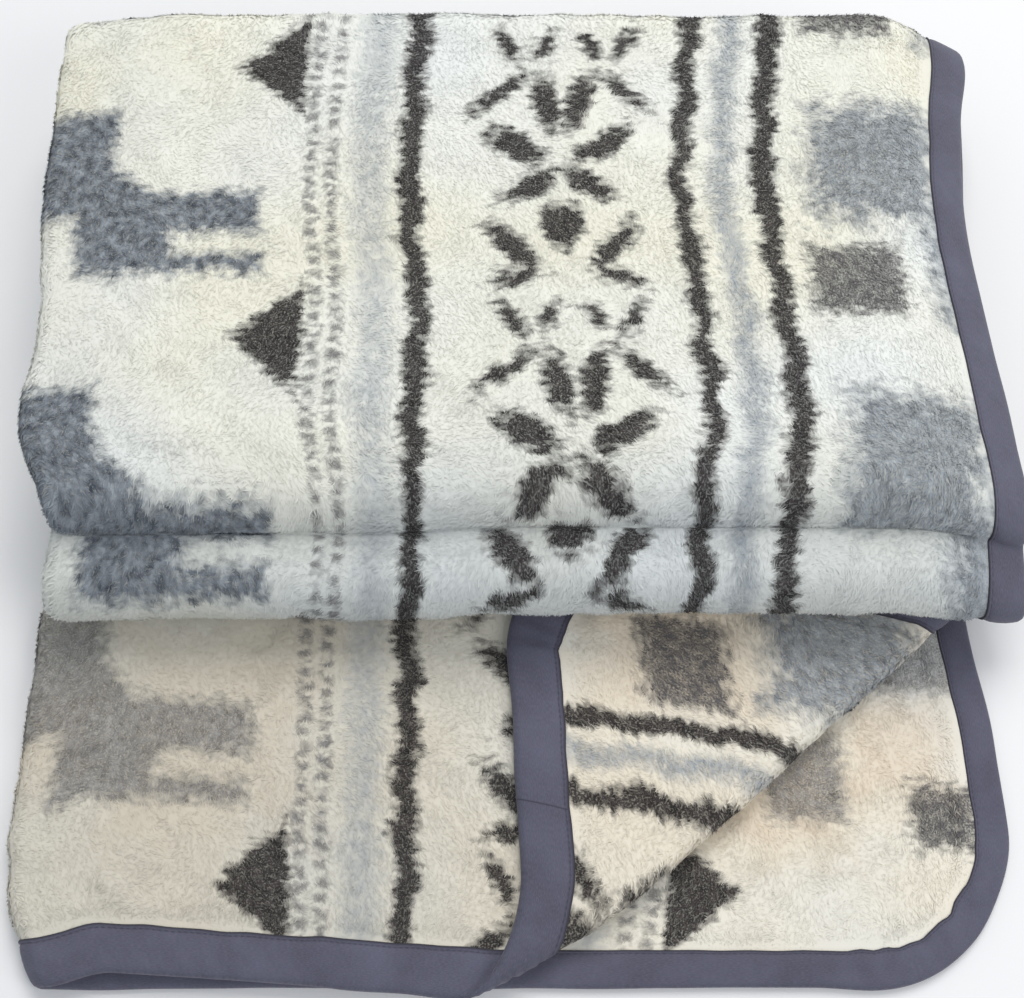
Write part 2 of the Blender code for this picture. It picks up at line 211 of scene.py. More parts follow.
# Where the pile is scattered, in a and b
SIDE_START = SPAN - 0.006
SIDE_END = 0.512
PANEL_PILE_END = 0.245
TURNED_START = 0.62
TURNED_END = 0.300
BARED_WIDTH = 0.26
BARED_END = 0.235

# Binding: its cells, join, stitches and puckers, and how much narrower it is on the lower layer
BINDING_STEP = 0.0034
JOIN_A = 0.847
JOIN_WIDTH = 0.0016
STITCH_SHARE = 0.90
STITCH_PITCH = 0.0032
WEAVE_PITCH = 0.0010
PUCKER = 0.00035
CORNER_PUCKER = 0.0016
CORNER_FADE = 0.030
BULK = 0.0006
JOIN_LIP = 0.00045
STRAY = 0.0007
NOSE_STRAY = 0.0006
COTTON_LEAST = 0.0006
NARROW = 0.22
NARROW_START = 0.46
NARROW_WIDTH = 0.08

# Pattern: its repeat, where its units start, and how far a unit's shapes reach before its start
REPEAT_ACROSS = 0.465
REPEAT_ALONG = 0.1745
UNIT_START = 0.035
UNIT_LAP = 0.035
FIRST_TRIANGLE = 0.044
PANEL_END = 0.260
PACK_START = 0.500

# Where the pattern is shifted or stretched, by how much, and where that starts and is full
STRETCH = 0.0755
STRETCH_ALONG = (0.270, 0.780)
BACK_SQUEEZE = 0.011
SQUEEZE_ALONG = (1.0300, 1.1411)
SQUEEZE_ACROSS = (0.450, 0.050)
ROLL_SHIFT = 0.0130
ROLL_ALONG = (0.9450, 0.9093)
ROLL_ACROSS = (0.0900, 0.2011)
RIGHT_ACROSS = (0.2800, 0.3425)
TOP_SHIFT = 0.0045
PANEL_SHIFT = 0.0110
PANEL_ACROSS = (0.4150, 0.3817)

# Shapes of a unit, in t across it and v along it: the stripes' centre, width and sway
DARK_STRIPES = ((0.197, 0.0120, -0.0012), (0.346, 0.0110, -0.0013), (0.390, 0.0130, 0.0010))
BLUE_STRIPE = (0.368, 0.0125)
FAINT_STRIPE = (0.175, 0.0180)
DASH_STRIPES = ((0.144, 0.0), (0.155, 0.0042))
DASH_WIDTH = 0.0054
DASH_HALF = 0.0024
DASH_PITCH = 0.0085
TRIANGLE_BASE = 0.138
TRIANGLE_TIP = 0.101
STAR_AXIS = 0.277

# Shapes of a unit made of rectangles: left, right, low and high edge of each
COMBS = (
    (-0.010, 0.038, -0.100, -0.027), (0.018, 0.071, -0.137, -0.084),
    (0.050, 0.117, -0.110, -0.084), (0.050, 0.117, -0.136, -0.124),
)
COMB_SHOULDER = (0.036, -0.089, 0.026)
CHECK = (0.407, 0.455, 0.014, 0.053)
EDGE_CHECK = (-0.021, 0.013, 0.021, 0.054)
CLOUDS = ((0.414, 0.486, -0.104, -0.034), (0.474, 0.504, -0.158, -0.080))
TINTS = ((-0.012, 0.045, -0.130, -0.072), (0.052, 0.146, -0.150, -0.050), (0.398, 0.480, -0.010, 0.070))

# On the lower layer bared by the turned corner, two shapes stand for the combs, each once, in t and b
BARED_LARGE = (-0.050, 0.026, 0.147, 0.250)
BARED_LARGE_START = 0.13
BARED_SMALL = (0.046, 0.086, 0.080, 0.124)
LOWER_LAYER = 0.3

# The lower bulge has no check, and only the first unit has one at its edge
NO_CHECK = (0.82, 0.89)
AWAY = 1.0

# Where painted shade greys the front panel's left, and painted cool shade lies on the roll
LEFT_SHADE_START = 0.4
LEFT_SHADE_ACROSS = (0.8400, 0.6733)
ROLL_SHADE_ALONG = (0.9400, 0.8945)

# View and light
TILT = radians(69)
DISTANCE = 0.8333
TARGET = (-0.0056, 0.0020, 0.0)
PICTURE_WIDTH = 1024
FOCAL_PIXELS = 1500
SENSOR = 0.036
SKY = (0.90, 0.95, 1.0, 1.0)
SKY_STRENGTH = 0.55
LAMPS = (
    # name, place, size, power, tone
    ("window", (0.2, 1.1, 1.9), 1.2, 27.0, (1.0, 0.98, 0.94)),
    ("room", (1.1, -0.8, 1.3), 1.0, 9.0, (1.0, 0.98, 0.95)),
)


def ease(share):
    """A soft step from 0 to 1."""
    share = np.clip(share, 0.0, 1.0)
    return share * share * (3 - 2 * share)


def through(places, values, at):
    """A smooth curve through a table's values, flat past its ends."""
    places, values = np.asarray(places), np.asarray(values)
    slopes = np.gradient(values, places)
    at = np.clip(at, places[0], places[-1])
    i = np.clip(np.searchsorted(places, at, side="right") - 1, 0, len(places) - 2)
    step = places[i + 1] - places[i]
    t = (at - places[i]) / step
    return (values[i] * (1 + 2 * t) * (1 - t) ** 2 + slopes[i] * step * t * (1 - t) ** 2
            + values[i + 1] * t * t * (3 - 2 * t) + slopes[i + 1] * step * t * t * (t - 1))


def drift(u, v, size, seed):
    """Smooth noise from -1 to 1 with features of one size, over two coordinates."""
    table = np.random.default_rng(seed).uniform(-1.0, 1.0, (97, 89))
    u, v = np.asarray(u) / size, np.asarray(v) / size
    i, j = np.floor(u).astype(int), np.floor(v).astype(int)
    p, q = ease(u - i), ease(v - j)
    corner = [table[(i + x) % 97, (j + y) % 89] for x in (0, 1) for y in (0, 1)]
    return (corner[0] * (1 - q) + corner[1] * q) * (1 - p) + (corner[2] * (1 - q) + corner[3] * q) * p


class Line:
    """A line of straight and round runs in a plane."""

    def __init__(self, place, runs):
        self.lengths = np.array([length for length, turn in runs])
        self.starts = np.concatenate(([0.0], np.cumsum(self.lengths)[:-1]))
        rows = []
        (u, v), heading = place, 0.0
        for length, turn in runs:
            curve = turn / length
            rows.append((u, v, heading, curve))
            u += (sin(heading + turn) - sin(heading)) / curve if turn else length * cos(heading)
            v += (cos(heading) - cos(heading + turn)) / curve if turn else length * sin(heading)
            heading += turn
        self.rows = np.array(rows)

    def at(self, s, n):
        """The place at s along the line and n off it to the left."""
        i = np.clip(np.searchsorted(self.starts, s, side="right") - 1, 0, len(self.starts) - 1)
        u, v, heading, curve = self.rows[i].T
        t = s - self.starts[i]
        bent = np.where(curve == 0, 1.0, curve)
        end = heading + curve * t
        u = u + np.where(curve == 0, t * np.cos(heading), (np.sin(end) - np.sin(heading)) / bent)
        v = v + np.where(curve == 0, t * np.sin(heading), (np.cos(heading) - np.cos(end)) / bent)
        return u - n * np.sin(end), v + n * np.cos(end)


PACK = Line((FRONT_Y, PAIR / 2), [run[1:] for run in RUNS])
QUARTER = (CORNER_RADIUS * pi / 2, pi / 2)
EDGE = Line((HALF_WIDTH, 0.0), [
    (HALF_WIDTH - CORNER_RADIUS, 0.0), QUARTER, (LENGTH - 2 * CORNER_RADIUS, 0.0), QUARTER,
    (2 * (HALF_WIDTH - CORNER_RADIUS), 0.0), QUARTER, (LENGTH - 2 * CORNER_RADIUS, 0.0), QUARTER,
    (HALF_WIDTH - CORNER_RADIUS, 0.0)])
EDGE_LENGTH = EDGE.lengths.sum()


def run_place(name, share=0.0):
    """Distance along the section of a share of one run."""
    i = RUN_NAMES.index(name)
    return PACK.starts[i] + share * PACK.lengths[i]


OUTLINE_PLACES = [run_place(row[0], row[1]) for row in OUTLINE]
OUTLINE_LEFT = [row[2] + 2 * SIDE_RADIUS for row in OUTLINE]
OUTLINE_RIGHT = [row[3] - BINDING_ROOM for row in OUTLINE]
RIDGE_OUT = (sin(RIDGE_ANGLE), -cos(RIDGE_ANGLE))


def half_fold(a, m):
    """Distance from the side fold's centre, height off the pair's middle, and which layer, 0 to 1."""
    turn = np.clip((a - SPAN) / SIDE_RADIUS, 0.0, pi)
    across = np.maximum(np.abs(a - HALF_WIDTH) - SIDE_QUARTER, 0.0) - (SIDE_RADIUS + m) * np.sin(turn)
    return across, -(SIDE_RADIUS + m) * np.cos(turn), turn / pi


def lay(across, b):
    """Places of the upper layer: x, and s with the front panel's skew."""
    left = through(OUTLINE_PLACES, OUTLINE_LEFT, b)
    right = through(OUTLINE_PLACES, OUTLINE_RIGHT, b)
    x = left + across * (right - left) / SPAN
    kept = ease(across / SKEW_SIDE) * (1 - ease((b - SKEW_FADE[0]) / (SKEW_FADE[1] - SKEW_FADE[0])))
    return x, b + SKEW_SLOPE * (SKEW_START_X - x) * kept


def past_ridge(x, y):
    """How far a place of the upper layer is past the turned-back corner's fold."""
    return (x - RIDGE_X) * RIDGE_OUT[0] + (y - RIDGE_Y) * RIDGE_OUT[1]


def turn_corner(x, y, n, layer):
    """Turns back the upper layer's corner over its fold, in the front panel."""
    past = np.where(layer > 0.999, np.maximum(past_ridge(x, y), 0.0), 0.0)
    turn = np.minimum(past / RIDGE_RADIUS, pi)
    beyond = np.maximum(past - pi * RIDGE_RADIUS, 0.0)
    off = RIDGE_RADIUS - (n - SIDE_RADIUS)
    shift = off * np.sin(turn) - beyond - past
    x = x + shift * RIDGE_OUT[0] - FLAP_SHEAR * beyond / sin(RIDGE_ANGLE)
    n = np.where(past > 0, SIDE_RADIUS + RIDGE_RADIUS - off * np.cos(turn), n)
    return x, y + shift * RIDGE_OUT[1], n


def settle(x, y):
    """How far the height is kept at a place: the edges sink and the surface waves."""
    kept = 1 - RIGHT_SINK * ease((x - RIGHT_SINK_X) / SINK_WIDTH)
    kept -= LEFT_SINK * ease((LEFT_SINK_X - x) / SINK_WIDTH)
    kept -= FRONT_SINK * ease((FRONT_SINK_Y - y) / SINK_WIDTH)
    return kept + WAVE * (np.sin(21 * x + 9 * y + 0.6) + np.sin(17 * y - 11 * x + 2.0)) / 2


def fold(a, b, m):
    """Places of points of the flat blanket in the folded one."""
    across, n, layer = half_fold(a, m)
    x, askew = lay(across, b)
    s = np.where(layer > 0.5, askew, b)
    panel = s < PACK.lengths[0]
    turned_x, turned_y, turned_n = turn_corner(x, FRONT_Y + s, n, layer)
    x = np.where(panel, turned_x, x)
    s = np.where(panel, turned_y - FRONT_Y, s)
    n = np.where(panel, turned_n, n)
    gape = GAPE * ease((GAPE_START_X - x) / GAPE_WIDTH) * ease((GAPE_DEPTH - s) / GAPE_DEPTH)
    n = n + gape * ease((layer - 0.5) * 2)
    near = np.maximum(BEND_START_Y - FRONT_Y - s, 0.0) / BEND_DEPTH
    x = x - BEND * near ** 2 * (1 - ease(np.abs(x) / BEND_REACH))
    y, z = PACK.at(s, n)
    lift = LIFT * ease((x - LIFT_LEFT_X) / (LIFT_FULL_X - LIFT_LEFT_X))
    lift = lift * ease((LIFT_BACK_Y - y) / (LIFT_BACK_Y - LIFT_FULL_Y))
    z = z + np.where(s > PACK.starts[2], lift, 0.0)
    return np.stack((x, y, np.maximum(z * settle(x, y), UNDERSIDE)), axis=-1)


def margin(a, b):
    """Distance in from the flat blanket's rounded outline."""
    over_a = np.abs(a - HALF_WIDTH) - (HALF_WIDTH - CORNER_RADIUS)
    over_b = np.abs(b - LENGTH / 2) - (LENGTH / 2 - CORNER_RADIUS)
    corner = np.hypot(np.maximum(over_a, 0.0), np.maximum(over_b, 0.0))
    return CORNER_RADIUS - corner - np.minimum(np.maximum(over_a, over_b), 0.0)


def half_thickness(inside):
    """Half the cloth's thickness at a distance in from its edge, pinched under the binding."""
    halves = (EDGE_CLOTH / 2, BOUND_CLOTH / 2, CLOTH / 2)
    return np.interp(inside, (0.0, BINDING_WIDTH, PINCH_WIDTH), halves)


def binding_reach(a):
    """How far in the binding reaches, which is less on the lower layer."""
    return BINDING_WIDTH * (1 - NARROW * ease((NARROW_START - a) / NARROW_WIDTH))


def risen(a, b):
    """How far the pile has risen to its full height, 0 up to the binding and 1 past the pinched strip."""
    return ease((margin(a, b) - binding_reach(a)) / RISE_WIDTH)


def pile_height(a, b):
    """Height of the tufted pile over the cloth's middle, pinched at the binding and thin under it."""
    halves = (RIM_SHARE * EDGE_CLOTH / 2, EDGE_CLOTH / 2, BOUND_CLOTH / 2)
    bound = np.interp(margin(a, b), (0.0, RIM_WIDTH, BINDING_WIDTH), halves)
    tufts = sum(height * drift(a, b, size, seed) for size, height, seed in TUFTS)
    return bound + ((CLOTH - BOUND_CLOTH) / 2 + tufts) * risen(a, b)


def pile_normals(a, b, side):
    """Directions straight out of the tufted pile."""
    here = fold(a, b, side * pile_height(a, b))
    across = fold(a + NORMAL_STEP, b, side * pile_height(a + NORMAL_STEP, b)) - here
    along = fold(a, b + NORMAL_STEP, side * pile_height(a, b + NORMAL_STEP)) - here
    out = side * np.cross(across, along)
    return out / np.linalg.norm(out, axis=1, keepdims=True)


class Value:
    """A socket of a material, on which Python's operators add Math nodes."""

    def __init__(self, finish, socket):
        self.finish = finish
        self.socket = socket

    def math(self, operation, *values):
        return self.finish.node("ShaderNodeMath", values, operation=operation)

    def __add__(self, other):
        return self.math("ADD", self, other)

    def __sub__(self, other):
        return self.math("SUBTRACT", self, other)

    def __mul__(self, other):
        return self.math("MULTIPLY", self, other)

    def __truediv__(self, other):
        return self.math("DIVIDE", self, other)

    def __radd__(self, other):
        return self.math("ADD", other, self)

    def __rsub__(self, other):
        return self.math("SUBTRACT", other, self)

    def __rmul__(self, other):
        return self.math("MULTIPLY", other, self)

    def __abs__(self):
        return self.math("ABSOLUTE", self)

    def __gt__(self, other):
        return self.math("GREATER_THAN", self, other)

    def __lt__(self, other):
        return self.math("LESS_THAN", self, other)

    def least(self, other):
        return self.math("MINIMUM", self, other)

    def most(self, other):
        return self.math("MAXIMUM", self, other)

    def sine(self):
        return self.math("SINE", self)

    def wrapped(self, repeat):
        """The value brought within half a repeat of 0."""
        return self.math("WRAP", self, repeat / 2, -repeat / 2)

    def clipped(self):
        return self.finish.node("ShaderNodeClamp", (self,))


class Finish:
    """A material as it is made: a Principled shader, and the nodes that lead to it."""

    def __init__(self, name, **constants):
        self.material = bpy.data.materials.new(name)
        self.material.use_nodes = True
        self.tree = self.material.node_tree
        self.shader = self.tree.nodes["Principled BSDF"]
        for socket, value in constants.items():
            self.shader.inputs[socket.replace("_", " ")].default_value = value

    def node(self, kind, values=(), output=0, **settings):
        """Any node, with its settings made first and its input values or links after them."""
        node = self.tree.nodes.new(kind)
        for name, setting in settings.items():
            setattr(node, name, setting)
        pairs = values.items() if isinstance(values, dict) else enumerate(values)
        for key, value in pairs:
            if isinstance(value, Value):
                self.tree.links.new(value.socket, node.inputs[key])
            else:
                node.inputs[key].default_value = value
        return Value(self, node.outputs[output])

    def attribute(self, name):
        """The three parts of a vector attribute of the mesh."""
        vector = self.node("ShaderNodeAttribute", attribute_name=name, output="Vector")
        return [self.node("ShaderNodeSeparateXYZ", (vector,), output=i) for i in range(3)]

    def point(self, x, y, z=0.0):
        return self.node("ShaderNodeCombineXYZ", (x, y, z))

    def noise(self, point, scale, detail=1.0):
        """Noise from about -1 to 1."""
        values = {"Vector": point, "Scale": scale, "Detail": detail}
        return self.node("ShaderNodeTexNoise", values, noise_dimensions="2D") * 3.0 - 1.5

    def mix(self, share, first, second):
        """A colour between two, by a share."""
        values = {0: share, 6: first, 7: second}
        return self.node("ShaderNodeMix", values, output=2, data_type="RGBA")

    def darken(self, shade, depth):
        """A colour multiplied by a grey."""
        values = {0: 1.0, 6: shade, 7: self.point(depth, depth, depth)}
        return self.node("ShaderNodeMix", values, output=2, data_type="RGBA", blend_type="MULTIPLY")

    def bump(self, height, strength, distance):
        return self.node("ShaderNodeBump", {"Height": height, "Strength": strength, "Distance": distance})

    def set(self, socket, value):
        self.tree.links.new(value.socket, self.shader.inputs[socket])


def colour(red, green, blue):
    """A linear colour from the 0 to 255 of a screen."""
    return [((part / 255 + 0.055) / 1.055) ** 2.4 for part in (red, green, blue)] + [1.0]


COOL_WHITE = colour(232, 235, 234)
CREAM = colour(236, 234, 220)
WARM_CREAM = colour(234, 224, 207)
BEIGE = colour(226, 208, 184)
DARK_BROWN = colour(28, 24, 25)
FLECK_BROWN = colour(80, 73, 73)
DUSK_GREY = colour(62, 61, 66)
BLUE_GREY = colour(60, 68, 80)
PALE_BLUE_GREY = colour(150, 158, 167)
STONE_GREY = colour(138, 136, 138)
SLATE = colour(72, 71, 88)
WORN_SLATE = colour(88, 88, 107)
PALE_THREAD = colour(116, 116, 132)
# Dark slate of the join, also used for painted shade at the stitches and the inner edge
DARK_SLATE_AND_SHADOW = colour(34, 31, 44)
FLOOR_WHITE = colour(236, 236, 238)
SHADE_TONE = colour(196, 192, 180)
ROLL_SHADE_TONE = colour(172, 184, 196)

# Petals of the star column right of its axis: place, length and width in mm, angle in degrees from across
PETALS = (
    (305, 54, 38, 14, 47),
    (304, 35, 27, 10, -18),
    (309, 9, 25, 9, 58),
    (289, 10, 17, 9, -55),
    (311, -21, 37, 10, -41),
    (286, -29, 40, 15, 76),
    (301, -57, 38, 16, 32),
    (293, -82, 35, 13, -33),
    (280, 66, 28, 18, 74),
)


def leaf(finish, t, v, row):
    """How far a place is outside a petal, in metres."""
    centre_t, centre_v, length, width = (size / 1000 for size in row[:4])
    point = finish.point(t - centre_t, (v - centre_v).wrapped(REPEAT_ALONG))
    half = (length / 2, width / 2, 1.0)
    turned = finish.node("ShaderNodeMapping", (point, (0.0, 0.0, 0.0), (0.0, 0.0, radians(row[4])), half),
                         vector_type="TEXTURE")
    return (finish.node("ShaderNodeVectorMath", (turned,), output=1, operation="LENGTH") - 1.0) * (width / 2)


def block(t, v, left, right, low, high):
    """How far a place is outside a rectangle of the repeat, in metres."""
    aside = abs(t - (left + right) / 2) - (right - left) / 2
    along = abs((v - (low + high) / 2).wrapped(REPEAT_ALONG)) - (high - low) / 2
    return aside.most(along)


def blocks(t, v, rows):
    """How far a place is outside the nearest of some rectangles."""
    nearest = block(t, v, *rows[0])
    for row in rows[1:]:
        nearest = nearest.least(block(t, v, *row))
    return nearest


def stripe(t, centre, width):
    """How far a place is outside a stripe along the blanket, in metres."""
    return abs(t - centre) - width / 2


def soft(distance, blur):
    """A mask, 1 inside a shape and 0 outside it, with a blurred edge."""
    return (0.5 - distance / blur).clipped()


def ramp(value, ends):
    """A straight ramp, 0 at the first of two values and 1 at the second."""
    start, full = ends
    return ((value - start) / (full - start)).clipped()


class Knit:
    """The pattern at a place of the flat blanket, as masks of its shapes, and the yarns that fill them."""

    def __init__(self, finish, a, b):
        self.finish = finish
        self.a = a
        self.b = b
        self.place = finish.point(a, b)
        self.coarse = finish.noise(self.place, 70.0)
        self.mottle = finish.noise(self.place, 190.0)
        self.fleck = finish.noise(self.place, 1100.0, 0.0)
        self.rows = finish.noise(finish.point(a * 0.45, b), 310.0)
        self.panel = b < PANEL_END
        self.high = b > PACK_START
        self.t = self.across()
        self.v = self.along()
        sway = finish.noise(finish.point(self.v, a * 0.6), 48.0)
        self.wave = (self.v * (tau * 5 / REPEAT_ALONG)).sine() + 2.2 * sway

    def across(self):
        """The place across a unit of the pattern, shifted as the knitting is in the roll and the panel."""
        t = self.a - UNIT_START - REPEAT_ACROSS * (self.a > UNIT_START + REPEAT_ACROSS - UNIT_LAP)
        roll = self.high * ramp(self.b, ROLL_ALONG) * ramp(t, ROLL_ACROSS)
        right = ramp(t, RIGHT_ACROSS)
        panel = self.panel * right * ramp(t, PANEL_ACROSS)
        t = t + ROLL_SHIFT * roll + TOP_SHIFT * self.high * right - PANEL_SHIFT * panel
        return t + 0.0018 * self.coarse

    def along(self):
        """The place along the pattern, stretched where it is out of sight and squeezed at the back."""
        squeeze = ramp(self.b, SQUEEZE_ALONG) * ramp(self.t, SQUEEZE_ACROSS)
        v = self.b - FIRST_TRIANGLE - STRETCH * ramp(self.b, STRETCH_ALONG) + BACK_SQUEEZE * squeeze
        return v - 0.0022 * self.coarse

    def knitted(self, distance, rough, mottled, blur):
        """A mask of a shape whose edge is broken by the rows of pile and mottled, all three in mm."""
        distance = distance + rough / 1000 * self.rows + mottled / 1000 * self.mottle
        return soft(distance, blur / 1000)

    def dark(self):
        """Triangles, dark stripes and the column of stars."""
        shape = 0.76 * abs(self.v.wrapped(REPEAT_ALONG)) - 0.66 * (self.t - TRIANGLE_TIP)
        shape = shape.most(self.t - TRIANGLE_BASE)
        for centre, width, sway in DARK_STRIPES:
            shape = shape.least(stripe(self.t + sway * self.wave, centre, width))
        mirrored = abs(self.t - STAR_AXIS) + STAR_AXIS
        for row in PETALS:
            shape = shape.least(leaf(self.finish, mirrored, self.v, row))
        return self.knitted(shape, 3.0, 0.8, 5.0)

    def combs(self):
        """Stepped combs, and the two shapes that the bared lower layer has in their place."""
        centre_t, centre_v, size = COMB_SHOULDER
        shoulder = abs(self.t - centre_t) + abs((self.v - centre_v).wrapped(REPEAT_ALONG)) - size
        comb = blocks(self.t, self.v, COMBS).least(0.70 * shoulder)
        under = self.panel * (self.a < LOWER_LAYER)
        large = block(self.t, self.b, *BARED_LARGE) + AWAY * (self.b < BARED_LARGE_START)
        bared = large.least(block(self.t, self.b, *BARED_SMALL))
        comb = (comb + AWAY * under).least(bared + AWAY * (1.0 - under))
        return self.knitted(comb, 3.4, 2.0, 8.5)

    def checks(self):
        """Dark checks, in the units and at the blanket's first edge."""
        check = block(self.t, self.v, *CHECK) + AWAY * ((self.b > NO_CHECK[0]) * (self.b < NO_CHECK[1]))
        edge = block(self.t, self.v, *EDGE_CHECK) + AWAY * (self.a > LOWER_LAYER)
        return self.knitted(check.least(edge), 4.6, 2.6, 7.5)

    def clouds(self):
        """Blurred blue clouds."""
        return self.knitted(blocks(self.t, self.v, CLOUDS) + 0.0070 * self.coarse, 5.0, 4.0, 16.0)

    def blue(self):
        """The pale blue stripe between two dark ones."""
        return self.knitted(stripe(self.t - 0.0010 * self.wave, *BLUE_STRIPE), 3.0, 2.4, 7.5)

    def faint(self):
        """The faint stripe beside the dashes."""
        return self.knitted(stripe(self.t, *FAINT_STRIPE), 4.0, 4.0, 9.0)

    def dashes(self):
        """Two rows of short dashes, half a dash apart."""
        step = self.v + 0.0016 * self.mottle
        rows = [stripe(self.t, centre, DASH_WIDTH).most(abs((step - start).wrapped(DASH_PITCH)) - DASH_HALF)
                for centre, start in DASH_STRIPES]
        return self.knitted(rows[0].least(rows[1]), 1.8, 1.0, 3.4)

    def ground(self):
        """Undyed wool: cool and cream patches, warmer in the panel, with painted shade greying the panel's
        left and painted cool shade on the roll.
        """
        finish = self.finish
        patch = finish.noise(self.place, 9.0)
        shade = finish.mix((0.60 + 0.6 * patch).clipped(), COOL_WHITE, CREAM)
        shade = finish.mix((self.panel * (0.55 + 0.5 * patch)).clipped(), shade, WARM_CREAM)
        tint = soft(blocks(self.t, self.v, TINTS) + 0.0060 * self.coarse, 0.0300)
        shade = finish.mix((0.60 * self.panel * tint).clipped(), shade, BEIGE)
        # Painted shade: the front panel's left is greyed towards the shade tone, where less light falls on
        # it.
        left = self.panel * (self.a > LEFT_SHADE_START) * ramp(self.a, LEFT_SHADE_ACROSS)
        shade = finish.mix(0.55 * left, shade, SHADE_TONE)
        # Painted cool shade over the roll's bulges, slope and crease, on the upper levels.
        return finish.mix(0.34 * self.high * ramp(self.b, ROLL_SHADE_ALONG), shade, ROLL_SHADE_TONE)

    def varied(self, share, mottled, flecked):
        """A share that varies with the mottle and the fleck."""
        return share + mottled * self.mottle + flecked * self.fleck

    def yarn(self, first, second, share, mottled, flecked):
        """A colour of two yarns."""
        return self.finish.mix(self.varied(share, mottled, flecked).clipped(), first, second)

    def dyed(self, shade, mask, dye, share, mottled, flecked):
        """A colour with a dye over it where a mask is."""
        return self.finish.mix((mask * self.varied(share, mottled, flecked)).clipped(), shade, dye)


def pile_finish():
    """Wool pile with the pattern knitted in, its fibres flecked, with painted shade at their roots."""
    finish = Finish("wool_pile", Roughness=0.95)
    a, b, height = finish.attribute("flat")
    knit = Knit(finish, a, b)
    smoke = knit.yarn(BLUE_GREY, PALE_BLUE_GREY, 0.42, 0.55, 0.30)
    pale = knit.yarn(BLUE_GREY, PALE_BLUE_GREY, 0.80, 0.40, 0.30)
    dusk = knit.yarn(DUSK_GREY, STONE_GREY, 0.35, 0.40, 0.35)
    brown = knit.yarn(DARK_BROWN, FLECK_BROWN, 0.16, 0.30, 0.35)
    comb = finish.mix(0.8 * knit.panel, smoke, dusk)
    shade = knit.dyed(knit.ground(), knit.faint(), PALE_BLUE_GREY, 0.42, 0.25, 0.0)
    shade = knit.dyed(shade, knit.blue(), pale, 0.62, 0.30, 0.20)
    shade = knit.dyed(shade, knit.clouds(), finish.mix(0.45, smoke, pale), 0.80, 0.0, 0.25)
    shade = knit.dyed(shade, knit.combs(), comb, 0.95 - 0.30 * knit.panel, 0.0, 0.25)
    shade = knit.dyed(shade, knit.dashes(), dusk, 0.72, 0.25, 0.20)
    shade = knit.dyed(shade, knit.checks(), finish.mix(0.55, dusk, brown), 0.82, 0.20, 0.25)
    shade = knit.dyed(shade, knit.dark(), brown, 0.95, 0.0, 0.20)
    # Painted shade: the locks darken towards their roots, with a little random tone over all.
    depth = (0.94 + 0.06 * height + 0.02 * knit.coarse).clipped()
    finish.set("Base Color", finish.darken(shade, depth))
    return finish.material


def binding_finish():
    """Plain-woven slate cotton, dark along its stitched edge and at its join: dark stitches with painted
    shade in their groove, and a painted shadow line at its inner edge.
    """
    finish = Finish("slate_cotton", Roughness=0.85, Sheen_Weight=0.10)
    s, across, height = finish.attribute("flat")
    place = finish.point(s, across)
    inside = abs(across)
    cloth = finish.noise(place, 130.0, 3.0)
    worn = finish.noise(place, 28.0, 2.0)
    thread = finish.noise(finish.point(s * 0.25, across), 2200.0)
    weave = (s * (tau / WEAVE_PITCH)).sine() * (across * (tau / WEAVE_PITCH)).sine()
    seam = abs(inside - STITCH_SHARE * BINDING_WIDTH) * 1000
    # Stitches: dark thread, with painted shade in their groove.
    stitches_and_shade = (1.0 - seam * 1.6).clipped() * (0.7 + 0.3 * (s * (tau / STITCH_PITCH)).sine())
    # Painted shadow line along the binding's inner edge, where the pile rises over it.
    edge_shadow = ((inside - 0.93 * BINDING_WIDTH) * 900).clipped()
    join = (1.0 - abs(s - (JOIN_A - HALF_WIDTH)) * 1400).clipped()
    shade = finish.mix((0.5 + 0.5 * worn + 0.25 * cloth).clipped(), SLATE, WORN_SLATE)
    shade = finish.mix((0.10 + 0.20 * thread).clipped(), shade, PALE_THREAD)
    # Dark slate at the join, and painted shade at the stitches and the inner edge.
    shade = finish.mix((0.55 * stitches_and_shade).most(0.9 * edge_shadow).most(0.6 * join), shade, DARK_SLATE_AND_SHADOW)
    finish.set("Base Color", shade)
    finish.set("Roughness", 0.82 + 0.05 * cloth)
    relief = 0.20 * weave + 0.4 * thread + 1.2 * cloth - 2.0 * stitches_and_shade - 2.0 * join
    finish.set("Normal", finish.bump(relief, 0.35, 0.0004))
    return finish.material


def floor_finish():
    """A plain pale surface."""
    finish = Finish("pale_floor", Roughness=0.9)
    finish.shader.inputs["Base Color"].default_value = FLOOR_WHITE
    return finish.material


def stations(*stretches):
    """Places along the flat sheet, from stretches given by their end and their largest step."""
    places = [0.0]
    for end, step in stretches:
        count = ceil((end - places[-1]) / step)
        places += list(np.linspace(places[-1], end, count + 1)[1:])
    return np.array(places)


def coordinates(bm):
    """The vertices' coordinates, one row each."""
    return np.array([vert.co for vert in bm.verts])


def write_mesh(bm, name, places, flat, material):
    """Makes a bmesh an object whose vertices lie at given places and keep their flat coordinates."""
    mesh = bpy.data.meshes.new(name)
    bm.to_mesh(mesh)
    bm.free()
    mesh.vertices.foreach_set("co", places.astype(np.float32).ravel())
    keep_flat(mesh, flat)
    mesh.materials.append(material)
    mesh.shade_smooth()
    piece = bpy.data.objects.new(name, mesh)
    bpy.context.scene.collection.objects.link(piece)
    return piece


def keep_flat(mesh, flat):
    """Stores the flat coordinates on a mesh, for its material."""
    layer = mesh.attributes.new("flat", "FLOAT_VECTOR", "POINT")
    layer.data.foreach_set("vector", flat.astype(np.float32).ravel())


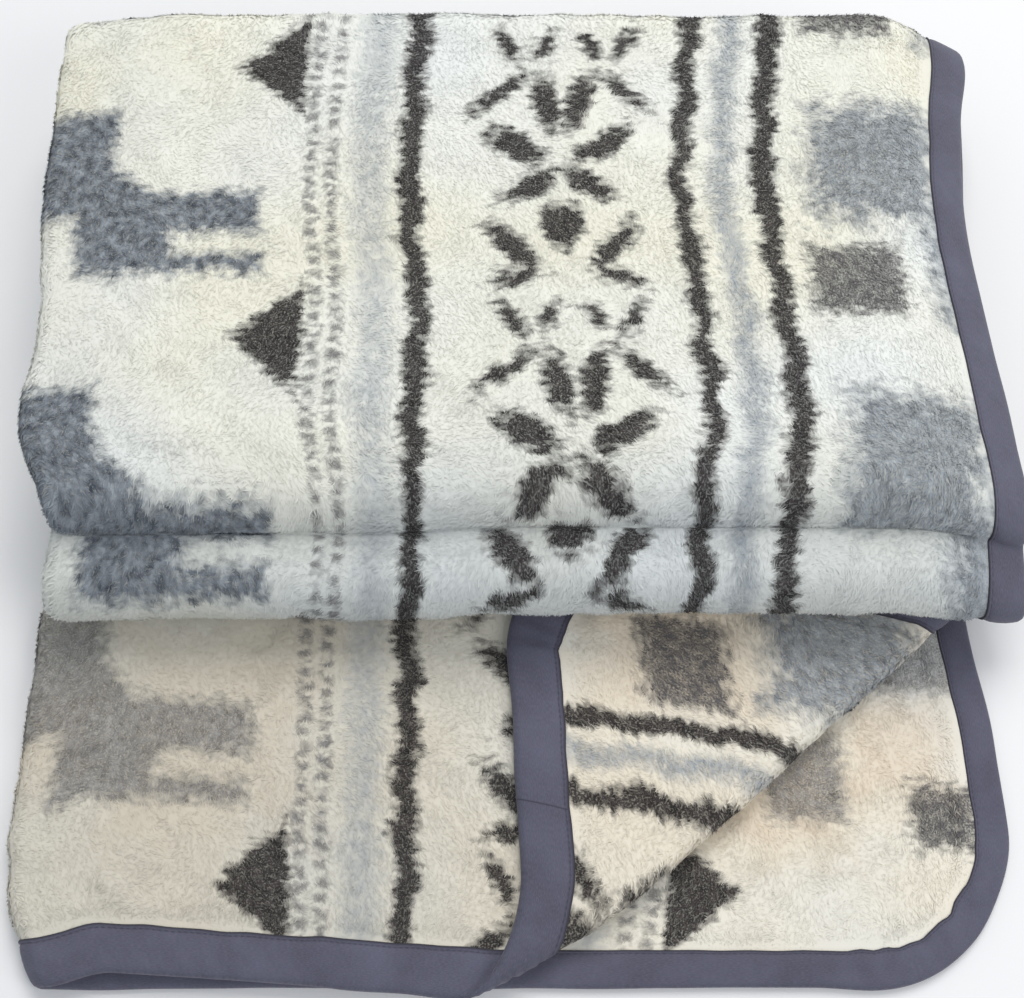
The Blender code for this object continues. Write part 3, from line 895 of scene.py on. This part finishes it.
def round_corners(a, b):
    """Moves the squares at the flat rectangle's corners into quarter rounds."""
    inner = np.array((HALF_WIDTH, LENGTH / 2)) - CORNER_RADIUS
    from_middle = np.stack((a - HALF_WIDTH, b - LENGTH / 2), axis=-1)
    over = np.maximum(np.abs(from_middle) - inner, 0.0) / CORNER_RADIUS
    pulled = over * np.sqrt(1 - over[:, ::-1] ** 2 / 2)
    from_middle += np.sign(from_middle) * (pulled - over) * CORNER_RADIUS
    return from_middle[:, 0] + HALF_WIDTH, from_middle[:, 1] + LENGTH / 2


def fleece_ground(material):
    """The cloth itself, a closed sheet, fine where it shows."""
    coarse = 1
    lines_a = stations(
        (0.435, 0.0100 * coarse),
        (0.560, 0.0035),
        (0.720, 0.0048 * coarse),
        (2 * HALF_WIDTH, 0.0038 * coarse))
    lines_b = stations(
        (0.270, 0.0040 * coarse),
        (run_place("low back fold"), HIDDEN_STEP),
        (run_place("level 2"), 0.0040),
        (run_place("lower bulge") - 0.020, HIDDEN_STEP),
        (run_place("level 5"), 0.0032),
        (run_place("top back fold"), 0.0050 * coarse),
        (run_place("level 4"), 0.0036),
        (run_place("inner fold"), HIDDEN_STEP),
        (run_place("level 3"), 0.0040),
        (LENGTH, HIDDEN_STEP))
    bm = bmesh.new()
    bmesh.ops.create_grid(bm, x_segments=len(lines_a) - 1, y_segments=len(lines_b) - 1, size=0.5)
    top = bmesh.ops.extrude_face_region(bm, geom=bm.faces[:], use_keep_orig=True)["geom"]
    for vert in (item for item in top if isinstance(item, bmesh.types.BMVert)):
        vert.co.z = 1.0
    bmesh.ops.recalc_face_normals(bm, faces=bm.faces[:])
    grid = coordinates(bm)
    a = lines_a[np.rint((grid[:, 0] + 0.5) * (len(lines_a) - 1)).astype(int)]
    b = lines_b[np.rint((grid[:, 1] + 0.5) * (len(lines_b) - 1)).astype(int)]
    a, b = round_corners(a, b)
    a = HALF_WIDTH + (a - HALF_WIDTH) * (1 - GROUND_INSET / HALF_WIDTH)
    b = LENGTH / 2 + (b - LENGTH / 2) * (1 - GROUND_INSET / (LENGTH / 2))
    side = np.where(grid[:, 2] > 0.5, 1.0, -1.0)
    places = fold(a, b, side * pile_height(a, b))
    return write_mesh(bm, "fleece_ground", places, np.stack((a, b, 0.5 + 0.0 * a), axis=-1), material)


def scatter(a_ends, b_ends, seed):
    """Places of locks over a rectangle of the flat blanket, evenly spread but in no rows."""
    spacing = LOCK_SPACING * 1.0
    lines = []
    for low, high in (a_ends, b_ends):
        count = int((high - low) / spacing)
        lines.append(low + (high - low) * (np.arange(count) + 0.5) / count)
    rng = np.random.default_rng(seed)
    a, b = (grid.ravel() + rng.uniform(-0.5, 0.5, grid.size) * spacing * JITTER
            for grid in np.meshgrid(*lines))
    kept = margin(a, b) > binding_reach(a) - BINDING_LAP
    return a[kept], b[kept]


def repeated(name, count):
    """A flat three-sided blade and its copies, as one piece, with the blade's own points."""
    bm = bmesh.new()
    bmesh.ops.create_circle(bm, segments=3, cap_ends=True, radius=1.0)
    shape = coordinates(bm)
    mesh = bpy.data.meshes.new(name)
    bm.to_mesh(mesh)
    bm.free()
    piece = bpy.data.objects.new(name, mesh)
    bpy.context.scene.collection.objects.link(piece)
    row = piece.modifiers.new("row", "ARRAY")
    row.count = count
    piece.data = bpy.data.meshes.new_from_object(piece.evaluated_get(bpy.context.evaluated_depsgraph_get()))
    piece.modifiers.clear()
    return piece, shape


def headings(a, b, rng):
    """Which way each lock leans: with its neighbours, towards the blanket's first end, a little astray."""
    aside, along = (drift(a, b, LEAN_PATCH, seed) + LEAN_TUFT_SHARE * drift(a, b, LEAN_TUFT, seed + 2)
                    for seed in (13, 14))
    return np.arctan2(along - 0.5, aside) + rng.normal(0.0, HEADING_SPREAD, len(a))


def locks(name, a, b, side, seed, material):
    """Locks of pile: flat tapering blades that lie over the cloth and lean together."""
    count = len(a)
    if count > LOCKS_MOST:
        raise ValueError(f"{name} has {count} locks")
    piece, shape = repeated(name, count)
    rng = np.random.default_rng(seed)
    heading = headings(a, b, rng)
    free = SHORTEST + (1 - SHORTEST) * risen(a, b)
    lean = LOCK_LEAN * rng.uniform(0.6, 1.3, count) * free
    root = pile_height(a, b) - LOCK_ROOT
    reach = LOCK_ROOT + LOCK_RISE * rng.uniform(0.3, 1.5, count) * free
    width = LOCK_WIDTH * rng.uniform(0.75, 1.25, count)
    normals = pile_normals(a, b, side) + rng.normal(0.0, NORMAL_SPREAD, (count, 3))

    up = np.tile((shape[:, 1] + 0.5) / 1.5, count)
    across = np.tile(shape[:, 0], count)
    a, b, heading, lean, root, reach, width = (
        np.repeat(row, len(shape)) for row in (a, b, heading, lean, root, reach, width))
    leaning = lean * (up - LEAN_PIVOT)
    point_a = a + leaning * np.cos(heading) + width * across * np.sin(heading)
    point_b = b + leaning * np.sin(heading) - width * across * np.cos(heading)
    places = fold(point_a, point_b, side * (root + reach * up))
    mesh = piece.data
    mesh.vertices.foreach_set("co", places.astype(np.float32).ravel())
    keep_flat(mesh, np.stack((a, b, up), axis=-1))
    mesh.materials.append(material)
    mesh.shade_smooth()
    if side < 0:
        mesh.flip_normals()
    mesh.normals_split_custom_set_from_vertices(np.repeat(normals, len(shape), axis=0))
    return piece


def past_corner_fold(a, b):
    """How far a flat point of the upper layer is past the turned-back corner's fold."""
    x, s = lay(np.maximum(a - HALF_WIDTH - SIDE_QUARTER, 0.0), b)
    return past_ridge(x, FRONT_Y + s)


def joined(parts):
    """Several lots of places as one."""
    return [np.concatenate(rows) for rows in zip(*parts)]


def pile(material):
    """The pile where it shows: outer faces, side fold, back folds, and round the turned corner."""
    upper = (SIDE_START, 2 * HALF_WIDTH)
    roll_start = run_place("lower bulge") - 0.008
    roll_end = run_place("level 5", 0.10)
    middle = run_place("level 5", 0.55)
    top_end = run_place("level 4", 0.01)
    a, b = scatter(upper, (0.0, PANEL_PILE_END), 21)
    kept = past_corner_fold(a, b) < 1.4 * RIDGE_RADIUS
    rows = [("pile_front_panel", (a[kept], b[kept]), 1.0)]
    a, b = scatter((TURNED_START, 2 * HALF_WIDTH), (0.0, TURNED_END), 22)
    bared = past_corner_fold(a, b) > 1.6 * RIDGE_RADIUS
    under = scatter((0.0, BARED_WIDTH), (0.0, BARED_END), 23)
    rows.append(("pile_turned_corner", joined(((a[bared], b[bared]), under)), -1.0))
    rows.append(("pile_roll", scatter(upper, (roll_start, roll_end), 24), 1.0))
    rows.append(("pile_top_front", scatter(upper, (roll_end, middle), 25), 1.0))
    rows.append(("pile_top_back", scatter(upper, (middle, top_end), 26), 1.0))
    ends = ((PANEL_PILE_END, roll_start), (top_end, LENGTH))
    sides = [scatter((SIDE_START, SIDE_END), stretch, 27) for stretch in ends]
    back = (run_place("low back fold") - 0.004, run_place("level 2") + 0.004)
    sides.append(scatter((0.0, SIDE_START), back, 28))
    rows.append(("pile_side_fold", joined(sides), 1.0))
    return [locks(name, *places, side, 30 + i, material) for i, (name, places, side) in enumerate(rows)]


# The binding's section, from its stitched edge on the outer face over its nose, and on its inside
BINDING_OUTSIDE = (
    # share of its width in from the edge, share of the cloth's half thickness, height over it in mm
    (1.000, 1.0, 0.30),
    (0.985, 1.0, 1.05),
    (0.940, 1.0, 1.25),
    (0.900, 1.0, 0.55),
    (0.860, 1.0, 1.15),
    (0.740, 1.0, 1.70),
    (0.560, 1.0, 1.85),
    (0.380, 1.0, 1.70),
    (0.200, 1.0, 1.30),
    (0.070, 1.0, 0.80),
    (-0.020, 0.75, 0.40),
    (-0.070, 0.0, 0.0),
)
BINDING_INSIDE = ((0.300, 0.0, 0.0), (0.700, 0.6, 0.0))


def binding_section():
    """The binding's closed section, all round."""
    over = [(share, part, height / 1000) for share, part, height in BINDING_OUTSIDE]
    under = [(share, -part, -height) for share, part, height in reversed(over[:-1])]
    back = [(share, -part, height) for share, part, height in reversed(BINDING_INSIDE)]
    return np.array(over + under + back + list(BINDING_INSIDE))


def binding_tube(around, steps):
    """A closed tube of rings, with each vertex's place round the blanket's edge and round the section."""
    bm = bmesh.new()
    upright = Matrix.Translation((1.0, 0.0, 0.0)) @ Matrix.Rotation(pi / 2, 4, "X")
    ring = bmesh.ops.create_circle(bm, segments=around, radius=0.4, matrix=upright)
    bmesh.ops.spin(bm, geom=ring["verts"] + bm.edges[:], cent=(0.0, 0.0, 0.0), axis=(0.0, 0.0, 1.0),
                   angle=tau, steps=steps, use_merge=True)
    x, y, z = coordinates(bm).T
    i = np.rint(np.arctan2(y, x) / tau * steps).astype(int) % steps
    j = np.rint(np.arctan2(z, np.hypot(x, y) - 1.0) / tau * around).astype(int) % around
    return bm, i, j


def cotton_height(s, share, part, height, corner):
    """The cotton's height over the cloth, bulky and puckered along its middle and raised at its join."""
    face = np.sign(part + height)
    least = np.minimum(np.abs(height), COTTON_LEAST)
    lively = ease(1 - np.abs(share - 0.5) / 0.5)
    ripple = drift(s, face * 0.31 + share * 0.01, 0.0065, 41) + 0.6 * drift(s, face * 0.17, 0.0031, 42)
    height = height + face * lively * ripple * (PUCKER + CORNER_PUCKER * corner)
    height = height + face * lively * BULK * drift(s, face * 0.2, 0.045, 43)
    past_join = (s - (JOIN_A - HALF_WIDTH)) / JOIN_WIDTH
    height = height + face * JOIN_LIP * np.exp(-np.abs(past_join - 1.0)) * (share < 0.95) * (share > 0.0)
    return face * np.maximum(face * height, least)


def edge_binding(material):
    """The cotton strip folded over the cloth's edge, with stitches, puckers and its join."""
    section = binding_section()
    steps = int(EDGE_LENGTH / (BINDING_STEP * 1.0))
    bm, i, j = binding_tube(len(section), steps)
    s = i * EDGE_LENGTH / steps
    share, part, height = section[j].T
    face = np.sign(part + height)
    corner = np.interp(corner_distance(s), (0.0, CORNER_FADE), (1.0, 0.0))
    height = cotton_height(s, share, part, height, corner)
    stray = drift(s, face * 0.5, 0.013, 44) + 1.4 * corner * drift(s, face * 0.4, 0.008, 45)
    at_edge = EDGE.at(s, 0.0 * s)[0]
    inset = share * binding_reach(at_edge) + STRAY * stray * ease((share - 0.6) / 0.4)
    inset = inset + NOSE_STRAY * (1 + corner) * drift(s, 0.0 * s, 0.030, 46) * (share < 0.3)
    a, b = EDGE.at(s, inset)
    m = part * half_thickness(np.maximum(inset, 0.0)) + height
    flat = np.stack((s, face * share * BINDING_WIDTH, m), axis=-1)
    piece = write_mesh(bm, "edge_binding", fold(a, b, m), flat, material)
    outward(piece)
    return piece


def corner_distance(s):
    """Distance along the edge from its nearest rounded corner."""
    rounds = [(EDGE.starts[i], EDGE.starts[i] + EDGE.lengths[i]) for i in (1, 3, 5, 7)]
    return np.min([np.maximum(np.maximum(start - s, s - end), 0.0) for start, end in rounds], axis=0)


def outward(piece):
    """Turns a closed mesh's faces outwards."""
    bm = bmesh.new()
    bm.from_mesh(piece.data)
    bmesh.ops.recalc_face_normals(bm, faces=bm.faces[:])
    bm.to_mesh(piece.data)
    bm.free()


def floor():
    """The surface that the blanket lies on, which isn't part of it."""
    bm = bmesh.new()
    bmesh.ops.create_grid(bm, x_segments=1, y_segments=1, size=6.0)
    mesh = bpy.data.meshes.new("floor")
    bm.to_mesh(mesh)
    bm.free()
    mesh.materials.append(floor_finish())
    piece = bpy.data.objects.new("floor", mesh)
    bpy.context.scene.collection.objects.link(piece)


def aim(thing, place, target):
    """Puts a lamp or camera at a place, facing a target."""
    thing.location = place
    thing.rotation_euler = (Vector(target) - Vector(place)).to_track_quat("-Z", "Y").to_euler()
    bpy.context.scene.collection.objects.link(thing)


def camera():
    """The camera, above and in front, as in the photograph."""
    data = bpy.data.cameras.new("camera")
    data.sensor_width = SENSOR * 1000
    data.lens = FOCAL_PIXELS / PICTURE_WIDTH * SENSOR * 1000
    thing = bpy.data.objects.new("camera", data)
    place = (TARGET[0], TARGET[1] - DISTANCE * cos(TILT), TARGET[2] + DISTANCE * sin(TILT))
    aim(thing, place, TARGET)
    bpy.context.scene.camera = thing


def soft_lamp(name, place, size, power, tone):
    """A large square lamp that faces the blanket."""
    data = bpy.data.lights.new(name, "AREA")
    data.size = size
    data.energy = power
    data.color = tone
    aim(bpy.data.objects.new(name, data), place, (0.0, 0.0, 0.0))


def light():
    """Soft daylight from behind, a weaker lamp from the front right, a cool sky, and plain colours."""
    bpy.context.scene.view_settings.view_transform = "Standard"
    world = bpy.data.worlds.new("daylight")
    world.use_nodes = True
    world.node_tree.nodes["Background"].inputs["Color"].default_value = SKY
    world.node_tree.nodes["Background"].inputs["Strength"].default_value = SKY_STRENGTH
    bpy.context.scene.world = world
    for lamp in LAMPS:
        soft_lamp(*lamp)


def main():
    camera()
    light()
    floor()
    wool = pile_finish()
    ground = fleece_ground(wool)
    tufts = pile(wool)
    binding = edge_binding(binding_finish())
    for piece in [ground, *tufts, binding]:
        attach(piece, "root")
    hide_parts("fleece")
    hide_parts("binding")


main()
